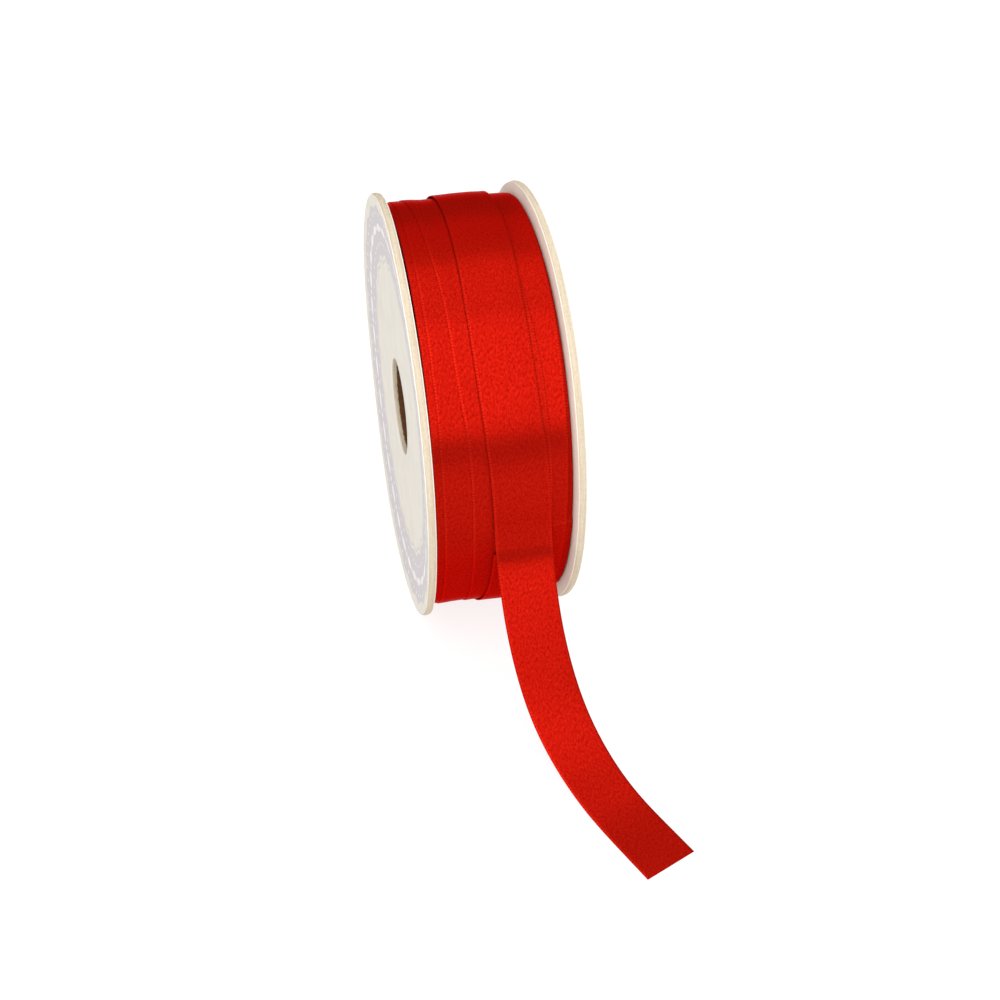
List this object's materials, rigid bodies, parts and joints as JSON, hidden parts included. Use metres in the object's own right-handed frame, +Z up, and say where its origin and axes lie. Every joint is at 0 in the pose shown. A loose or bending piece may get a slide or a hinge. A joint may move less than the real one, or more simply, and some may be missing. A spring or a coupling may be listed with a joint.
{
  "type": "ribbon spool",
  "caption": "Small card spool wound with satin gift ribbon, its free end drawn off over the front and laid on the table.",
  "frame": {"origin": "on the table, under the middle of the whole outline with the free end of the ribbon included", "axes": "+Z up, +X along the spool's axis towards the flange that the ribbon's free end leans to, -Y towards the free end"},
  "size_m": [0.0364, 0.1258, 0.0798],
  "materials": {
    "greyboard": "pale pasted board, raw cut edge",
    "lining_paper": "uncoated off-white paper",
    "printed_paper": "off-white paper with a pale lavender printed ring",
    "kraft_board": "brown kraft, spiral wound",
    "dried_glue": "dried white glue",
    "paper_tape": "paper tape",
    "satin": "bright red polyester satin"
  },
  "bodies": {
    "spool": {"left_flange_liner": "lining_paper", "left_flange_board": "greyboard", "left_flange_facing": "printed_paper", "right_flange_liner": "lining_paper", "right_flange_board": "greyboard", "right_flange_facing": "printed_paper", "core_tube": "kraft_board", "left_glue_fillet": "dried_glue", "right_glue_fillet": "dried_glue", "start_tape": "paper_tape", "wound_ribbon": "satin"},
    "outer_turn": {"last_turn": "satin"},
    "tail": {"ribbon_tail": "satin"},
    "tip": {"ribbon_tip": "satin"}
  },
  "joints": [
    {"name": "ribbon_draw", "type": "hinge", "parent": "spool", "child": "outer_turn", "pos_m": [-0.00441, 0.02297, 0.03991], "axis": [1, 0, 0], "continuous": true},
    {"name": "tail_lift", "type": "hinge", "parent": "outer_turn", "child": "tail", "pos_m": [-0.00146, -0.01544, 0.03723], "axis": [-1, 0, 0], "range_deg": [0, 100]},
    {"name": "tip_lift", "type": "hinge", "parent": "tail", "child": "tip", "pos_m": [0.00929, -0.05086, 0.00015], "axis": [-0.926, -0.3775, 0], "range_deg": [0, 80]}
  ]
}
